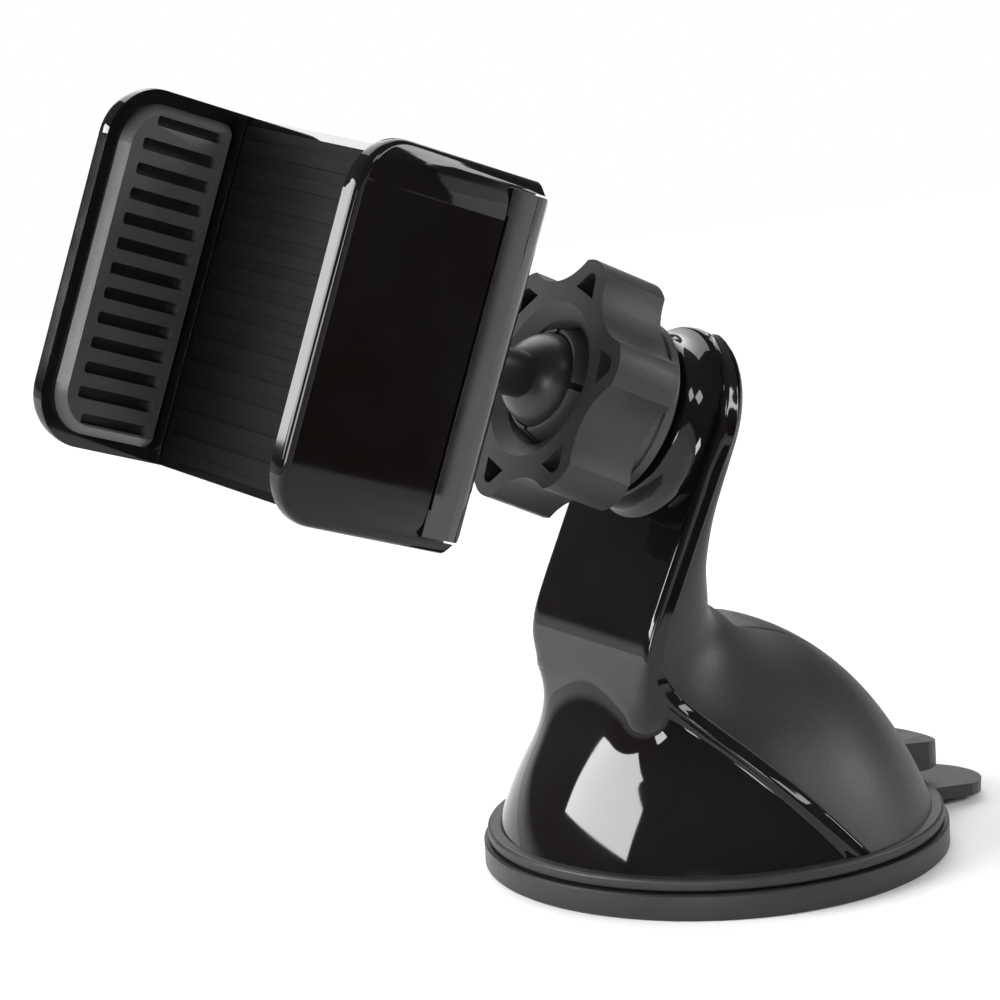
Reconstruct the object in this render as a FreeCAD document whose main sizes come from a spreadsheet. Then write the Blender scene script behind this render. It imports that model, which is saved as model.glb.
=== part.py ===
"""Car phone mount: a suction base with a leaning arm, a ball head with a clamp nut, and a sprung cradle.

Three frames are used, all in millimetres with +Z up:
  BASE    origin on the dashboard under the middle of the suction cup, front towards -Y
  HEAD    origin at the ball, local z along the socket axis (forwards and up)
  CRADLE  origin in the middle of the phone plate, x across the phone, y up it, z towards it
"""
import FreeCAD, Part
import math
import os

V = FreeCAD.Vector
doc = FreeCAD.newDocument("PhoneMount")

# ------------------------------------------------------------------ driving sizes
SIZES = {
    # base
    "cup_dia": 85.0, "cup_top": 4.6, "cup_dish": 3.2, "ring_dia": 83.4, "ring_top": 7.1,
    "dome_rad": 39.5, "dome_top": 45.0, "shell_wall": 2.2,
    "tab_width": 18.0, "tab_thick": 2.4,
    "lever_width": 16.8, "pivot_y": 4.0, "pivot_z": 36.2, "journal_arm": 4.2, "journal_rad": 1.5,
    "pin_rad": 1.6, "stud_rad": 3.0,
    # arm
    "arm_half": 18.6, "strip_deep": 3.3, "blend_rad": 10.0, "back_blend": 10.0, "band_proud": 0.5,
    # ball head
    "ball_y": -30.1, "ball_z": 90.6, "ball_rad": 8.5, "seat_rad": 8.8, "head_lean": 26.0,
    "collar_front": -18.7, "collar_rear": -24.3, "flange_rad": 16.6,
    "nut_front": 2.0, "nut_rear": -10.9, "nut_tip": 22.9, "nut_valley": 18.1, "nut_bore": 11.35,
    "socket_rad": 11.3, "stem_rad": 4.1, "stem_reach": 57.0, "nut_phase": 13.3,
    # cradle
    "cradle_turn": 12.93, "cradle_lean": -19.26, "cradle_twist": 6.61,
    "jaw_face": 30.15, "jaw_wall": 3.25, "jaw_half": 30.35, "jaw_deep": 25.35, "jaw_back": -5.5,
    "jaw_corner": 9.5, "house_back": -17.0, "house_floor": -14.8, "plate_back": -2.6,
    "rod_y": 17.0, "rod_z": -9.3, "rod_rad": 1.3, "pad_pitch": 4.2, "pad_thick": 2.0,
}
sheet = doc.addObject("Spreadsheet::Sheet", "Sizes")
for row, (alias, size) in enumerate(SIZES.items(), start=1):
    sheet.set("A%d" % row, alias)
    sheet.set("B%d" % row, str(size))
    sheet.setAlias("B%d" % row, alias)
doc.recompute()


class Dim:
    """A size that carries its value together with the sheet expression it comes from."""

    def __init__(self, value, text):
        self.value, self.text = value, text

    def _with(self, other, sign, value, swap=False):
        mine, theirs = self.text, other.text if isinstance(other, Dim) else "%.6g" % other
        if swap:
            mine, theirs = theirs, mine
        return Dim(value, "(%s %s (%s))" % (mine, sign, theirs))

    def __add__(self, other):
        return self._with(other, "+", self.value + number(other))

    __radd__ = __add__

    def __sub__(self, other):
        return self._with(other, "-", self.value - number(other))

    def __rsub__(self, other):
        return self._with(other, "-", number(other) - self.value, swap=True)

    def __mul__(self, other):
        return self._with(other, "*", self.value * number(other))

    __rmul__ = __mul__

    def __truediv__(self, other):
        return self._with(other, "/", self.value / number(other))

    def __neg__(self):
        return self * -1.0


def number(size):
    return size.value if isinstance(size, Dim) else float(size)


def size_of(alias):
    return Dim(float(sheet.get(alias)), "Sizes." + alias)


S = {alias: size_of(alias) for alias in SIZES}


def bind(obj, prop, size):
    """Ties a property to the sheet when its size comes from there."""
    if isinstance(size, Dim):
        obj.setExpression(prop, size.text)


# ------------------------------------------------------------------ shape helpers
def set_base(obj, x, y, z, rotation=None):
    spot = V(number(x), number(y), number(z))
    obj.Placement = FreeCAD.Placement(spot, rotation or FreeCAD.Rotation())
    for name, size in (("x", x), ("y", y), ("z", z)):
        bind(obj, "Placement.Base." + name, size)


def box(x0, x1, y0, y1, z0, z1):
    obj = doc.addObject("Part::Box", "Block")
    for prop, low, high in (("Length", x0, x1), ("Width", y0, y1), ("Height", z0, z1)):
        setattr(obj, prop, number(high) - number(low))
        bind(obj, prop, high - low)
    set_base(obj, x0, y0, z0)
    return obj


AXES = {"x": FreeCAD.Rotation(V(0, 1, 0), 90), "y": FreeCAD.Rotation(V(1, 0, 0), -90),
        "z": FreeCAD.Rotation()}


def rod(axis, x, y, z, radius, length):
    obj = doc.addObject("Part::Cylinder", "Rod")
    obj.Radius, obj.Height = number(radius), number(length)
    bind(obj, "Radius", radius)
    bind(obj, "Height", length)
    set_base(obj, x, y, z, AXES[axis])
    return obj


def cone(x, y, z, low_rad, high_rad, length):
    obj = doc.addObject("Part::Cone", "Taper")
    obj.Radius1, obj.Radius2, obj.Height = number(low_rad), number(high_rad), number(length)
    for prop, size in (("Radius1", low_rad), ("Radius2", high_rad), ("Height", length)):
        bind(obj, prop, size)
    set_base(obj, x, y, z)
    return obj


def fuse(*shapes):
    obj = doc.addObject("Part::MultiFuse", "Union")
    obj.Shapes = list(shapes)
    obj.Refine = True
    return obj


def common(*shapes):
    obj = doc.addObject("Part::MultiCommon", "Overlap")
    obj.Shapes = list(shapes)
    return obj


def cut(base, *tools):
    obj = doc.addObject("Part::Cut", "Remainder")
    obj.Base = base
    obj.Tool = tools[0] if len(tools) == 1 else fuse(*tools)
    obj.Refine = True
    return obj


def carve(base, *tools):
    """Takes the tools away one after another."""
    for tool in tools:
        base = cut(base, tool)
    return base


def group(*shapes):
    obj = doc.addObject("Part::Compound", "Group")
    obj.Links = list(shapes)
    return obj


def outline(body, plane, points, lift=0.0):
    """A closed sketch of points (a, b), or (a, b, via_a, via_b) where an arc through the via point ends."""
    sketch = body.newObject("Sketcher::SketchObject", "Outline")
    origin = [f for f in body.Origin.OriginFeatures if f.Role == plane][0]
    sketch.AttachmentSupport = [(origin, "")]
    sketch.MapMode = "FlatFace"
    sketch.AttachmentOffset = FreeCAD.Placement(V(0, 0, number(lift)), FreeCAD.Rotation())
    bind(sketch, "AttachmentOffset.Base.z", lift)
    spots = [V(number(p[0]), number(p[1]), 0) for p in points]
    for i, point in enumerate(points):
        start, end = spots[i - 1], spots[i]
        if len(point) == 4:
            sketch.addGeometry(Part.Arc(start, V(number(point[2]), number(point[3]), 0), end), False)
        else:
            sketch.addGeometry(Part.LineSegment(start, end), False)
    return sketch


def prism(plane, points, start, end):
    """The outline carried from start to end along the plane's normal (XY: +z, XZ: -y, YZ: +x)."""
    body = doc.addObject("PartDesign::Body", "Prism")
    sketch = outline(body, plane + "_Plane", points, start)
    pad = body.newObject("PartDesign::Pad", "Pad")
    pad.Profile = sketch
    pad.Length = number(end) - number(start)
    bind(pad, "Length", end - start)
    body.Tip = pad
    return body


def turned(points):
    """The (radius, height) outline turned about the local z axis."""
    body = doc.addObject("PartDesign::Body", "Turned")
    sketch = outline(body, "XZ_Plane", points)
    spin = body.newObject("PartDesign::Revolution", "Revolution")
    spin.Profile = sketch
    spin.ReferenceAxis = (sketch, ["V_Axis"])
    spin.Angle = 360
    body.Tip = spin
    return body


def along(edge, part):
    """The point at the given part of an edge's parameter range."""
    return edge.valueAt(edge.FirstParameter + (edge.LastParameter - edge.FirstParameter) * part)


def worked_edges(kind, base, size, wanted):
    """Works the edges of base whose middle point passes the test."""
    doc.recompute()
    obj = doc.addObject(kind, "Edges")
    obj.Base = base
    obj.Edges = [(index, number(size), number(size)) for index, edge in enumerate(base.Shape.Edges, start=1)
                 if wanted(along(edge, 0.5), edge)]
    return obj


def rounded(base, radius, wanted):
    return worked_edges("Part::Fillet", base, radius, wanted)


def bevelled(base, size, wanted):
    return worked_edges("Part::Chamfer", base, size, wanted)


def blended(first, second, radius, wanted):
    """Two solids joined, with a fillet along the wanted lines where their faces meet."""
    def on_junction(middle, edge):
        spots = [Part.Vertex(along(edge, part)) for part in (0.2, 0.5, 0.8)]
        return wanted(middle) and all(spot.distToShape(solid.Shape.Shells[0])[0] < 1e-3
                                      for spot in spots for solid in (first, second))

    return rounded(fuse(first, second), radius, on_junction)


def coil(axis, x, y, z, mean_rad, wire_rad, length, turns):
    """A round-wire spring starting at the given point and running along the axis."""
    helix = doc.addObject("Part::Helix", "Helix")
    helix.Pitch = number(length) / turns
    helix.Height = number(length)
    helix.Radius = number(mean_rad)
    section = doc.addObject("Part::Circle", "Wire")
    section.Radius = number(wire_rad)
    section.Placement = FreeCAD.Placement(V(number(mean_rad), 0, 0), FreeCAD.Rotation(V(1, 0, 0), 90))
    sweep = doc.addObject("Part::Sweep", "Coil")
    sweep.Sections = [section]
    sweep.Spine = (helix, ["Edge1"])
    sweep.Solid = True
    sweep.Frenet = True
    set_base(sweep, x, y, z, AXES[axis])
    return sweep


NODES = []


def node(obj, name, frame=None):
    """Names a finished piece and puts it in its frame."""
    obj.Label = name
    if frame is not None:
        obj.Placement = frame.multiply(obj.Placement)
    NODES.append(obj)
    return obj


# ------------------------------------------------------------------ frames
LEAN = math.radians(number(S["head_lean"]))
BALL = V(0, number(S["ball_y"]), number(S["ball_z"]))
HEAD = FreeCAD.Placement(BALL, FreeCAD.Rotation(V(1, 0, 0), 90 - number(S["head_lean"])))
CRADLE_TURN = (FreeCAD.Rotation(V(0, 0, 1), number(S["cradle_turn"]))
               .multiply(FreeCAD.Rotation(V(1, 0, 0), number(S["cradle_lean"])))
               .multiply(FreeCAD.Rotation(V(0, 1, 0), number(S["cradle_twist"])))
               .multiply(FreeCAD.Rotation(V(1, 0, 0), 90)))
STEM = FreeCAD.Placement(BALL, CRADLE_TURN)
CRADLE = STEM.multiply(FreeCAD.Placement(V(0, 0, number(S["stem_reach"])), FreeCAD.Rotation()))


def face_point(up, forward):
    """(y, z) in the base frame of a point on the socket's middle plane."""
    spot = HEAD.multVec(V(0, up, forward))
    return spot.y, spot.z


# ------------------------------------------------------------------ base: dome, arm and shells
FLAT_RAD = 5.0


def dome(inset):
    """The domed cover as a solid of two tangent arcs, shrunk by inset."""
    crown, knee = V(14.7, 39.5, 0), V(29.8, 26.0, 0)
    upper_mid, lower_mid = V(-9.49, -2.76, 0), V(-24.0, -13.4, 0)
    top_z = upper_mid.y + math.sqrt((48.7 - inset) ** 2 - (FLAT_RAD - upper_mid.x) ** 2)
    rim_rad = lower_mid.x + math.sqrt((66.7 - inset) ** 2 - (7.1 - lower_mid.y) ** 2)

    def shrunk(point, middle, radius):
        return middle + (point - middle).normalize() * (radius - inset)

    crown_in = shrunk(crown, upper_mid, 48.7)
    knee_in = shrunk(knee, upper_mid, 48.7)
    side_in = shrunk(V(35.41, 16.89, 0), lower_mid, 66.7)
    return turned([(0, 7.1), (rim_rad, 7.1), (knee_in.x, knee_in.y, side_in.x, side_in.y),
                   (FLAT_RAD, top_z, crown_in.x, crown_in.y), (0, top_z)])


def arm_block(half, inset, back):
    """The arm in side view, carried across its width, with a round top about the socket axis."""
    depth = number(S["collar_rear"]) - inset
    top, knee = face_point(40, depth), face_point(-32.0, depth)
    foot = -25.9 + inset
    points = [(back, 112.0), top, knee, (foot, 36.0, (knee[0] + foot) / 2 - 0.62, (knee[1] + 36.0) / 2),
              (foot, 16.0), (back, 16.0)]
    block = prism("YZ", points, -half, half)
    crown = rod("z", 0, 0, -60, half, 90)
    crown.Placement = HEAD.multiply(crown.Placement)
    below = box(-40, 40, -130, 0, -90, 90)
    below.Placement = HEAD.multiply(below.Placement)
    return common(block, fuse(crown, below))


def seam_zone(shift=0.0):
    """Everything in front of the line where the gloss front meets the matte back, moved back by shift."""
    depth = number(S["collar_rear"]) - number(S["strip_deep"])
    top, knee = face_point(45, depth), face_point(-31.5, depth)
    points = [(-90, 0), (10.9, 0), (-15.5, 31.3), (-22.0, 43.0, -20.7, 37.2),
              (knee[0], knee[1], -21.2, 46.6), top, (top[0], 130), (-90, 130)]
    moved = [sum(((p[i] + shift, p[i + 1]) for i in range(0, len(p), 2)), ()) for p in points]
    return prism("YZ", moved, -50, 50)


def back_line(z):
    depth = number(S["collar_rear"]) - number(S["strip_deep"])
    y, height = face_point(0, depth)
    return max(y - (height - z) * math.tan(LEAN), -22.0)


def neck(shrink):
    """The matte back of the arm: elliptical slices that grow downwards into the dome."""
    slices = [(80, 18.6, 6.0), (66, 18.8, 8.0), (57, 18.8, 12.4), (50, 19.2, 17.4), (43, 20.6, 20.4),
              (26, 23.4, 22.0)]
    wires = []
    for z, wide, deep in slices:
        ring = doc.addObject("Part::Ellipse", "Slice")
        ring.MajorRadius, ring.MinorRadius = wide - shrink, deep - shrink
        ring.Placement = FreeCAD.Placement(V(0, back_line(z) - 3.0, z), FreeCAD.Rotation())
        wires.append(ring)
    loft = doc.addObject("Part::Loft", "Neck")
    loft.Sections = wires
    loft.Solid = True
    return loft


def head_back(rim, crown, start, depth):
    cover = cone(0, 0, start - depth, crown, rim, depth)
    cover.Placement = HEAD.multiply(cover.Placement)
    return cover


wall = S["shell_wall"]
pivot_y, pivot_z = S["pivot_y"], S["pivot_z"]
outer_dome, inner_dome = dome(0.0), dome(number(wall))
back_form = blended(outer_dome, neck(0.0), S["back_blend"], lambda middle: True)
BAND_WIDE = 1.8
arm_hollow = common(arm_block(number(S["arm_half"]) - 2.2, 2.2, 8.0), seam_zone(0.9))
neck_hollow = cut(neck(2.3), seam_zone(-0.7))
BOSSES = ((22.0, -20.0), (24.0, 17.0))


def screw_posts(y):
    """Two posts under the dome with pilot holes for the screws from below."""
    x = dict((b, a) for a, b in BOSSES)[y]
    posts = fuse(*[rod("z", side * x, y, 7.1, 3.2, 20) for side in (-1, 1)])
    return common(posts, dome(1.0))


def pilots(y):
    x = dict((b, a) for a, b in BOSSES)[y]
    return [rod("z", side * x, y, 5.0, 1.2, 11.0) for side in (-1, 1)]


def make_front_shell():
    block = arm_block(number(S["arm_half"]), 0.0, 8.0)
    body = blended(outer_dome, block, S["blend_rad"], lambda middle: middle.y < 7 and middle.z < 45)
    band = common(fuse(dome(-number(S["band_proud"])), back_form), cut(seam_zone(), seam_zone(-BAND_WIDE)))
    collar = turned([(0, S["collar_rear"] - 0.5), (17.2, S["collar_rear"] - 0.5),
                     (15.4, S["collar_front"] + 0.5), (14.9, S["collar_front"]), (0, S["collar_front"])])
    collar.Placement = HEAD
    neck_hole = rod("z", 0, 0, number(S["collar_rear"]) - 6, 8.1, 14)
    neck_hole.Placement = HEAD.multiply(neck_hole.Placement)
    front = carve(fuse(common(body, seam_zone()), band), inner_dome, arm_hollow, neck_hollow)
    front = cut(fuse(front, collar, screw_posts(-20.0)), neck_hole, *pilots(-20.0))
    return node(front, "front_shell")


def make_rear_shell():
    head = head_back(17.6, 11.2, number(S["collar_rear"]) - number(S["strip_deep"]) + 0.01, 4.4)
    head_hole = head_back(15.4, 9.9, number(S["collar_rear"]) - number(S["strip_deep"]) + 0.02, 2.9)
    solid = cut(fuse(back_form, head), seam_zone())
    slot_half = S["lever_width"] / 2 + 0.35
    slot = fuse(box(-slot_half, slot_half, pivot_y, 70, 5.0, 60),
                rod("x", -slot_half, pivot_y, pivot_z, 8.8, slot_half * 2))
    shell = carve(solid, inner_dome, neck_hollow, arm_hollow, head_hole)
    shell = cut(fuse(shell, cut(screw_posts(17.0), seam_zone())), slot, *pilots(17.0))
    return node(shell, "rear_shell")


make_front_shell()
make_rear_shell()


# ------------------------------------------------------------------ base: cup, ring and frame
def make_suction_cup():
    rad, top, dish = S["cup_dia"] / 2, S["cup_top"], S["cup_dish"]
    disc = turned([(3.1, 9.0), (8, 9.0), (8, 6.2), (10, 5.6), (31.5, 2.95), (33, top), (rad - 0.3, top),
                   (rad, top - 0.3), (rad, 0.3), (rad - 0.3, 0), (36, 0), (10, dish), (0, dish), (0, 4.7),
                   (6.1, 4.7), (6.1, 6.3), (3.1, 6.3)])
    half = S["tab_width"] / 2
    tab = prism("XY", [(-half, -2), (half, -2), (half, 10.5), (-half, 10.5, 0, 17.3)], 0, S["tab_thick"])
    tab.Placement = FreeCAD.Placement(V(0, 42, 1.9), FreeCAD.Rotation(V(1, 0, 0), -5))
    return node(fuse(disc, tab), "suction_cup")


def make_base_ring():
    rad, low, top = S["ring_dia"] / 2, S["cup_top"], S["ring_top"]
    return node(turned([(37.9, low), (rad - 0.9, low), (rad - 0.9, low + 0.35), (rad - 0.3, low + 0.35),
                        (rad, low + 0.6), (rad, top - 0.4), (rad - 0.4, top), (37.9, top)]), "base_ring")


def make_base_frame():
    low = S["cup_top"]
    plate = turned([(3.2, 14), (9.9, 14), (9.9, 6.3), (22, low), (37.7, low), (37.7, 7.0), (12, 7.0),
                    (12, 16), (3.2, 16)])
    towers = []
    for side in (-1, 1):
        inner, outer = sorted((side * 6.7, side * 9.1))
        towers += [box(inner, outer, pivot_y - 2.9, pivot_y + 2.9, 15, pivot_z),
                   rod("x", inner, pivot_y, pivot_z, 2.9, outer - inner)]
    holes = [rod("x", -12, pivot_y, pivot_z, S["pin_rad"] + 0.01, 24)]
    for x, y in BOSSES:
        for side in (-1, 1):
            holes += [rod("z", side * x, y, 4, 1.25, 4), rod("z", side * x, y, 4, 2.35, 1.85)]
    return node(cut(fuse(plate, *towers), *holes), "base_frame")


def make_base_screws():
    screws = []
    for x, y in BOSSES:
        for side in (-1, 1):
            head = fuse(rod("z", side * x, y, 4.7, 2.3, 1.15), rod("z", side * x, y, 5.8, 1.19, 9.0))
            screws.append(cut(head, box(side * x - 1.5, side * x + 1.5, y - 0.25, y + 0.25, 4.6, 5.2)))
    return node(group(*screws), "base_screws")


make_suction_cup()
make_base_ring()
make_base_frame()
make_base_screws()


# ------------------------------------------------------------------ base: lever and pull stud
LEVER_SWING = math.radians(21.0)
journal_y = number(pivot_y) - number(S["journal_arm"]) * math.cos(LEVER_SWING)
journal_z = number(pivot_z) + number(S["journal_arm"]) * math.sin(LEVER_SWING)


def make_lever():
    half = S["lever_width"] / 2
    reach = fuse(box(-half, half, pivot_y, 70, 7.7, 60), rod("x", -half, pivot_y, pivot_z, 8.5, half * 2))
    skin = cut(common(outer_dome, reach), dome(2.0))
    cheeks = []
    for side in (-1, 1):
        inner, outer = sorted((side * 4.3, side * 6.4))
        side_plate = prism("YZ", [(-2.6, 36.2), (-2.9, 38.6), (0.5, 44), (16, 40), (16, 37), (8, 34.0),
                                  (3.0, 32.4), (0.0, 34.4)], inner, outer)
        cheeks.append(common(side_plate, reach, dome(1.0)))
    thumb = common(prism("YZ", [(36.5, 7.7), (49.5, 7.7), (49.5, 11.6), (44, 13.0), (38, 13.7), (36.0, 13.7)],
                         -8.0, 8.0),
                   prism("XY", [(-8.0, 30), (8.0, 30), (8.0, 43.5), (-8.0, 43.5, 0, 49.0)], 5, 20))
    dish = doc.addObject("Part::Sphere", "Dish")
    dish.Radius = 13
    set_base(dish, 0, 43.6, 24.9)
    lever = cut(fuse(skin, thumb, *cheeks), dish,
                rod("x", -12, pivot_y, pivot_z, S["pin_rad"] + 0.06, 24),
                rod("x", -12, journal_y, journal_z, S["journal_rad"] + 0.01, 24))
    return node(lever, "lever")


def make_lever_pins():
    return node(group(*[rod("x", start, pivot_y, pivot_z, S["pin_rad"], 4.5) for start in (-9.0, 4.5)]),
                "lever_pins")


def make_cam_pin():
    return node(rod("x", -6.3, journal_y, journal_z, S["journal_rad"], 12.6), "cam_pin")


def make_pull_stud():
    rad = S["stud_rad"]
    shaft = turned([(0, 4.8), (6.0, 4.8), (6.0, 6.2), (rad, 6.2), (rad, 9.2), (7.0, 9.2), (7.0, 10.0),
                    (rad, 10.0), (rad, 34.6), (0, 34.6)])
    head = prism("YZ", [(-2.9, 34.2), (2.9, 34.2), (2.9, 40.8), (-1.0, 40.8), (-2.9, 38.6)], -3.9, 3.9)
    window = box(-5, 5, journal_y - 1.85, journal_y + 1.85, journal_z - 1.55, journal_z + 1.55)
    return node(cut(fuse(shaft, head), window), "pull_stud")


make_lever()
make_lever_pins()
make_cam_pin()
make_pull_stud()
node(group(turned([(3.4, 10.1), (8.6, 11.35), (8.6, 11.95), (3.4, 10.7)]),
           turned([(3.4, 13.94), (8.6, 12.69), (8.6, 12.09), (3.4, 13.34)])), "release_spring")


# ------------------------------------------------------------------ ball head
def make_socket():
    seat, rad, flange = S["seat_rad"], S["socket_rad"], S["flange_rad"]
    body = turned([(1.8, -26.6), (8, -26.6), (8, -16.2), (flange - 0.4, -16.2), (flange, -15.8),
                   (flange, -14.1), (flange - 0.5, -13.9), (flange - 0.5, -13.4), (flange, -13.2), (flange, -11.6),
                   (flange - 0.4, -11.2), (rad, -11.2), (rad, -3.9), (10.9, -3.5), (9.2, 1.5), (8.67, 1.5),
                   (7.3, -4.91, 8.65, -1.6), (7.3, -10.3), (1.8, -10.3)])
    slots = [box(-0.6, 0.6, -13, 13, -8.5, 3), box(-13, 13, -0.6, 0.6, -8.5, 3)]
    return node(cut(body, *slots), "socket", HEAD)


def make_ball_liner():
    liner = turned([(2.2, -10.2), (7.2, -10.2), (7.2, -5.06), (2.2, -8.52, 5.0, -7.24)])
    return node(liner, "ball_liner", HEAD)


def make_socket_screw():
    screw = fuse(rod("z", 0, 0, -28, 1.79, 14), rod("z", 0, 0, -29.9, 3.5, 1.9))
    cross = fuse(box(-2, 2, -0.35, 0.35, -30.2, -28.9), box(-0.35, 0.35, -2, 2, -30.2, -28.9))
    return node(cut(screw, cross), "socket_screw", HEAD)


def polar(radius, degrees):
    return radius * math.cos(math.radians(degrees)), radius * math.sin(math.radians(degrees))


def make_clamp_nut():
    tip, valley, phase = number(S["nut_tip"]), number(S["nut_valley"]), number(S["nut_phase"])
    points = []
    for lobe in range(6):
        at = phase + 60 * lobe
        points.append(polar(tip - 0.75, at - 10) + polar(valley, at - 30))
        points.append(polar(tip - 0.75, at + 10) + polar(tip, at))
    body = prism("XY", points, S["nut_rear"], S["nut_front"])
    bore = S["nut_bore"]
    threads = []
    for ridge in range(4):
        z = -3.6 + 1.0 * ridge
        threads += [(bore, z - 0.25), (bore + 0.6, z + 0.1), (bore + 0.6, z + 0.4)]
    mouth = turned([(0, -12), (bore, -12)] + threads + [(bore, 0.1), (14.1, 2.01), (14.1, 3), (0, 3)])
    pockets = []
    for lobe in range(6):
        at = phase + 60 * lobe
        pockets.append(prism("XY", [polar(17.2, at - 10.5), polar(17.2, at + 10.5), polar(19.4, at + 5.0),
                                    polar(19.4, at - 5.0) + polar(20.6, at)], -6.0, 3.0))
    return node(cut(body, mouth, *pockets), "clamp_nut", HEAD)


def make_ball_stud():
    ball, stem, reach = S["ball_rad"], S["stem_rad"], S["stem_reach"]
    neck_z = math.sqrt(number(ball) ** 2 - number(stem) ** 2)
    shoulder, end = reach - 20.0, reach + S["house_floor"] + 0.25
    body = turned([(0, -ball), (stem, neck_z, ball, 0), (stem, shoulder), (3.0, shoulder), (3.0, end),
                   (1.4, end), (1.4, end - 12), (0, end - 12)])
    return node(body, "ball_stud", STEM)


make_socket()
make_ball_liner()
make_socket_screw()
node(turned([(1.85, -28), (9.4, -28), (9.4, -26.6), (1.85, -26.6)]), "socket_washer", HEAD)
make_clamp_nut()
make_ball_stud()
end = S["house_floor"] + 0.25
node(turned([(1.5, end), (5.5, end), (5.5, end + 1.05), (1.5, end + 1.05)]), "stem_washer", CRADLE)
stem_screw = fuse(rod("z", 0, 0, end - 10.95, 1.39, 12.1), rod("z", 0, 0, end + 1.05, 3.0, 1.8))
cross = [box(-2, 2, -0.35, 0.35, end + 2.25, end + 3), box(-0.35, 0.35, -2, 2, end + 2.25, end + 3)]
node(cut(stem_screw, *cross), "stem_screw", CRADLE)


# ------------------------------------------------------------------ cradle
face, jaw_wall, half = S["jaw_face"], S["jaw_wall"], S["jaw_half"]
deep, back = S["jaw_deep"], S["jaw_back"]
POSTS = ((-25.0, 25.0), (-25.0, -25.0), (22.0, 25.0), (22.0, -25.0))
TRAVEL = 27.0
TAB_FROM, TAB_END = 28.4, -12.4
SLOPE_WIDE, SLOPE_DEEP, END_RAD = 6.5, 4.3, 5.5
END_ROLL, END_DROP = 7.5, 1.7


def jaw_side(side):
    """A jaw wall with round front corners and two rear tabs that wrap the housing's end."""
    near, far = face, face + jaw_wall
    low, high = (near, far) if side > 0 else (-far, -near)
    c = number(S["jaw_corner"])
    h, d, b = number(half), number(deep), number(back)
    k = c * (1 - math.sqrt(0.5))
    points = [(-h, TAB_END), (-TAB_FROM, TAB_END - 1.2), (-TAB_FROM, b), (TAB_FROM, b),
              (TAB_FROM, TAB_END - 1.2), (h, TAB_END), (h, d - c), (h - c, d, h - k, d - k), (c - h, d),
              (-h, d - c, k - h, d - k)]
    inner, outer = number(near) * side, number(far) * side
    drop, roll = END_DROP * side, END_ROLL
    bow = (roll ** 2 + END_DROP ** 2) / (2 * END_DROP)
    middle = (outer - side * (bow - math.sqrt(bow ** 2 - roll ** 2 / 4)), h - roll / 2)
    top_view = [(inner, -h), (outer - drop, -h), (outer, roll - h, middle[0], -middle[1]),
                (outer, h - roll), (outer - drop, h, middle[0], middle[1]), (inner, h)]
    wall_body = common(prism("YZ", points, low, high), prism("XY", top_view, b - 12, d + 1))

    def outside(middle, edge):
        return abs(middle.x) > number(far) - END_DROP - 0.1 and middle.z > b + 0.5 and (
            abs(abs(middle.y) - h) < 0.1 or middle.z > d - c + 0.1)

    return rounded(wall_body, 1.3, outside)


def make_right_jaw():
    foot = box(-12, face + 0.5, -21, 21, -6.3, -3.2)
    lugs = [box(-12, -6, side * S["rod_y"] - 4, side * S["rod_y"] + 4, -11.9, -6.2) for side in (-1, 1)]
    holes = [rod("x", -13, side * S["rod_y"], S["rod_z"], S["rod_rad"] + 0.06, 8) for side in (-1, 1)]
    return node(cut(fuse(jaw_side(1), foot, *lugs), *holes), "right_jaw", CRADLE)


def make_left_jaw():
    foot = box(-face - 0.5, -26.0, -21, 21, -6.3, -2.6)
    step = box(-face - 0.5, -26.8, -half + 0.3, half - 0.3, 0, 1.0)
    return node(fuse(jaw_side(-1), foot, step), "left_jaw", CRADLE)


def rounded_slot(y, half_wide, z0, z1, r):
    """A rounded rectangle in the YZ plane, as outline points."""
    k = r * (1 - math.sqrt(0.5))
    y0, y1 = y - half_wide, y + half_wide
    return [(y0 + r, z0, y0 + k, z0 + k), (y1 - r, z0), (y1, z0 + r, y1 - k, z0 + k), (y1, z1 - r),
            (y1 - r, z1, y1 - k, z1 - k), (y0 + r, z1), (y0, z1 - r, y0 + k, z1 - k), (y0, z0 + r)]


def make_pad(side, name):
    """A thick rubber grip on a jaw's inner face, with a row of slots and a wide bevel round its front."""
    inner, outer = face - S["pad_thick"], face
    low, high = (inner, outer) if side > 0 else (-outer, -inner)
    h, w0, w1, c = number(half) - 2.4, 2.0, number(deep) - 2.2, 7.6
    k = c * (1 - math.sqrt(0.5))
    body = prism("YZ", [(-h, w0), (h, w0), (h, w1 - c), (h - c, w1, h - k, w1 - k), (c - h, w1),
                        (-h, w1 - c, k - h, w1 - k)], low, high)
    grip = number(inner) * side

    def grip_edge(middle, edge):
        return abs(middle.x - grip) < 0.01 and middle.z > w0 + 0.5

    body = bevelled(body, 1.5, grip_edge)
    slots = []
    floor = number(outer) * side - 0.5 * side
    for row in range(13):
        at_end = abs(row - 6) == 6
        slot = rounded_slot((row - 6) * number(S["pad_pitch"]), 0.85 if at_end else 0.98, 3.7,
                            17.6 if at_end else 19.4, 0.55)
        slots.append(prism("YZ", slot, min(floor, grip - side), max(floor, grip - side)))
    return node(cut(body, *slots), name, CRADLE)


def make_front_plate():
    h, right = number(half) - 0.3, number(face) - 0.4
    k = 10.0 * (1 - math.sqrt(0.5))
    left = 0.05 - number(face)
    body = prism("XY", [(left, -h), (right - 10, -h), (right, 10 - h, right - k, k - h), (right, h - 10),
                        (right - 10, h, right - k, h - k), (left, h)], S["plate_back"], 0)
    holes = [rod("z", x, y, -3, 1.05, 2.2) for x, y in POSTS]
    return node(cut(body, *holes), "front_plate", CRADLE)


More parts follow.
